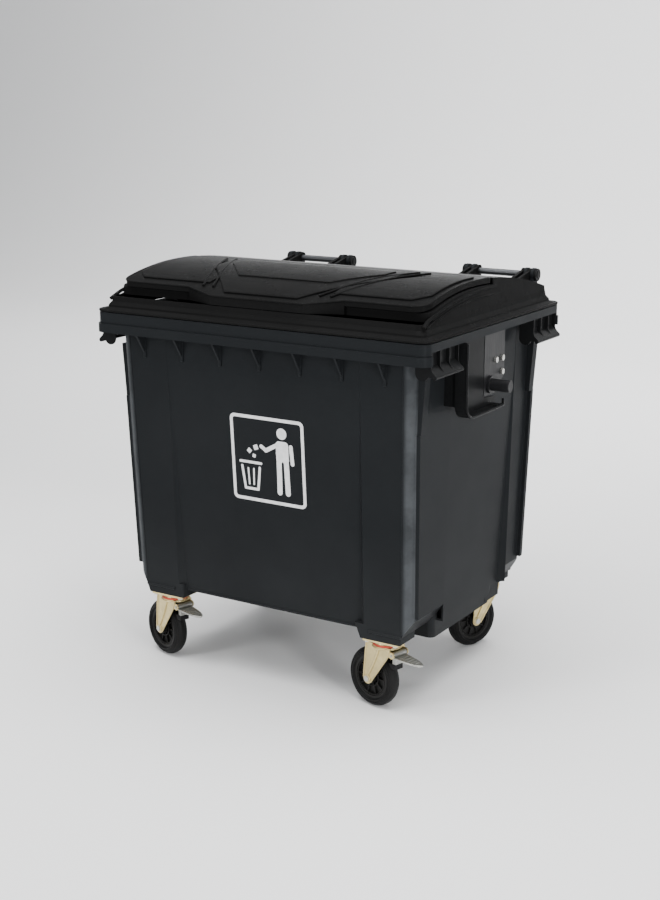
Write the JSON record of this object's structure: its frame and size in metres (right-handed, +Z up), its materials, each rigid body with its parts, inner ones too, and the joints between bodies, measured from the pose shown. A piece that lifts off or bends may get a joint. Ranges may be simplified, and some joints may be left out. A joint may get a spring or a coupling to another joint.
{
  "type": "wheeled waste container",
  "caption": "Four-wheeled plastic waste container with a domed lid, a smaller flap in the lid, corner grips, lifting pins and swivel casters with foot brakes.",
  "frame": {"origin": "on the ground, under the middle of the closed container's overall length and depth", "axes": "+X to the container's right seen from the front, -Y to the front, +Z up"},
  "size_m": [1.37, 1.062, 1.392],
  "materials": {
    "tub_plastic": "moulded, fine satin grain",
    "fitting_plastic": "moulded, satin",
    "lid_plastic": "moulded, semi-gloss",
    "black_steel": "black painted steel",
    "hinge_steel": "dark coated steel",
    "bolt_steel": "zinc plated",
    "zinc_steel": "yellow passivated zinc",
    "red_seal": "soft seal",
    "tyre_rubber": "moulded rubber",
    "hub_plastic": "moulded",
    "pedal_steel": "zinc plated",
    "sign_print": "white screen print"
  },
  "bodies": {
    "container": {"caster_bolts": "bolt_steel", "caster_plate_front_left": "zinc_steel", "caster_plate_front_right": "zinc_steel", "caster_plate_rear_left": "zinc_steel", "caster_plate_rear_right": "zinc_steel", "drain_plug": "tub_plastic", "handle_front_left": "fitting_plastic", "handle_front_right": "fitting_plastic", "handle_rear_left": "fitting_plastic", "handle_rear_right": "fitting_plastic", "hinge_rod_left": "hinge_steel", "hinge_rod_right": "hinge_steel", "sign_print": "sign_print", "swivel_bolt_front_left": "bolt_steel", "swivel_bolt_front_right": "bolt_steel", "swivel_bolt_rear_left": "bolt_steel", "swivel_bolt_rear_right": "bolt_steel", "trunnion_bolts": "bolt_steel", "trunnion_guard_left": "fitting_plastic", "trunnion_guard_right": "fitting_plastic", "trunnion_pin_left": "black_steel", "trunnion_pin_right": "black_steel", "trunnion_plate_left": "black_steel", "trunnion_plate_right": "black_steel", "tub": "tub_plastic"},
    "lid": {"lid_shell": "lid_plastic", "flap_hinge_pin": "bolt_steel"},
    "flap": {"flap": "lid_plastic"},
    "swivel_front_left": {"fork_front_left": "zinc_steel", "seal_ring_front_left": "red_seal", "axle_bolt_front_left": "bolt_steel"},
    "wheel_front_left": {"tyre_front_left": "tyre_rubber", "wheel_hub_front_left": "hub_plastic", "wheel_bearing_front_left": "bolt_steel"},
    "pedal_front_left": {"brake_pedal_front_left": "pedal_steel", "brake_shoe_front_left": "tyre_rubber"},
    "swivel_front_right": {"fork_front_right": "zinc_steel", "seal_ring_front_right": "red_seal", "axle_bolt_front_right": "bolt_steel"},
    "wheel_front_right": {"tyre_front_right": "tyre_rubber", "wheel_hub_front_right": "hub_plastic", "wheel_bearing_front_right": "bolt_steel"},
    "pedal_front_right": {"brake_pedal_front_right": "pedal_steel", "brake_shoe_front_right": "tyre_rubber"},
    "swivel_rear_right": {"fork_rear_right": "zinc_steel", "seal_ring_rear_right": "red_seal", "axle_bolt_rear_right": "bolt_steel"},
    "wheel_rear_right": {"tyre_rear_right": "tyre_rubber", "wheel_hub_rear_right": "hub_plastic", "wheel_bearing_rear_right": "bolt_steel"},
    "swivel_rear_left": {"fork_rear_left": "zinc_steel", "seal_ring_rear_left": "red_seal", "axle_bolt_rear_left": "bolt_steel"},
    "wheel_rear_left": {"tyre_rear_left": "tyre_rubber", "wheel_hub_rear_left": "hub_plastic", "wheel_bearing_rear_left": "bolt_steel"}
  },
  "joints": [
    {"name": "lid_hinge", "type": "hinge", "parent": "container", "child": "lid", "pos_m": [0, 0.507, 1.337], "axis": [-1, 0, 0], "range_deg": [0, 220]},
    {"name": "flap_hinge", "type": "hinge", "parent": "lid", "child": "flap", "pos_m": [0, -0.0115, 1.37766], "axis": [-1, 0, 0], "range_deg": [0, 100]},
    {"name": "swivel_front_left", "type": "hinge", "parent": "container", "child": "swivel_front_left", "pos_m": [-0.432, -0.3895, 0.229], "axis": [0, 0, 1], "continuous": true},
    {"name": "roll_front_left", "type": "hinge", "parent": "swivel_front_left", "child": "wheel_front_left", "pos_m": [-0.48434, -0.3726, 0.1], "axis": [0.3074, 0.9516, 0], "continuous": true},
    {"name": "brake_front_left", "type": "hinge", "parent": "swivel_front_left", "child": "pedal_front_left", "pos_m": [-0.38252, -0.40548, 0.208], "axis": [0.3074, 0.9516, 0], "range_deg": [0, 7]},
    {"name": "swivel_front_right", "type": "hinge", "parent": "container", "child": "swivel_front_right", "pos_m": [0.432, -0.3895, 0.229], "axis": [0, 0, 1], "continuous": true},
    {"name": "roll_front_right", "type": "hinge", "parent": "swivel_front_right", "child": "wheel_front_right", "pos_m": [0.37863, -0.37619, 0.1], "axis": [0.2419, 0.9703, 0], "continuous": true},
    {"name": "brake_front_right", "type": "hinge", "parent": "swivel_front_right", "child": "pedal_front_right", "pos_m": [0.48246, -0.40208, 0.208], "axis": [0.2419, 0.9703, 0], "range_deg": [0, 7]},
    {"name": "swivel_rear_right", "type": "hinge", "parent": "container", "child": "swivel_rear_right", "pos_m": [0.432, 0.3225, 0.229], "axis": [0, 0, 1], "continuous": true},
    {"name": "roll_rear_right", "type": "hinge", "parent": "swivel_rear_right", "child": "wheel_rear_right", "pos_m": [0.4091, 0.27249, 0.1], "axis": [-0.9092, 0.4163, 0], "continuous": true},
    {"name": "swivel_rear_left", "type": "hinge", "parent": "container", "child": "swivel_rear_left", "pos_m": [-0.432, 0.3225, 0.229], "axis": [0, 0, 1], "continuous": true},
    {"name": "roll_rear_left", "type": "hinge", "parent": "swivel_rear_left", "child": "wheel_rear_left", "pos_m": [-0.449, 0.27019, 0.1], "axis": [-0.9511, 0.309, 0], "continuous": true}
  ]
}
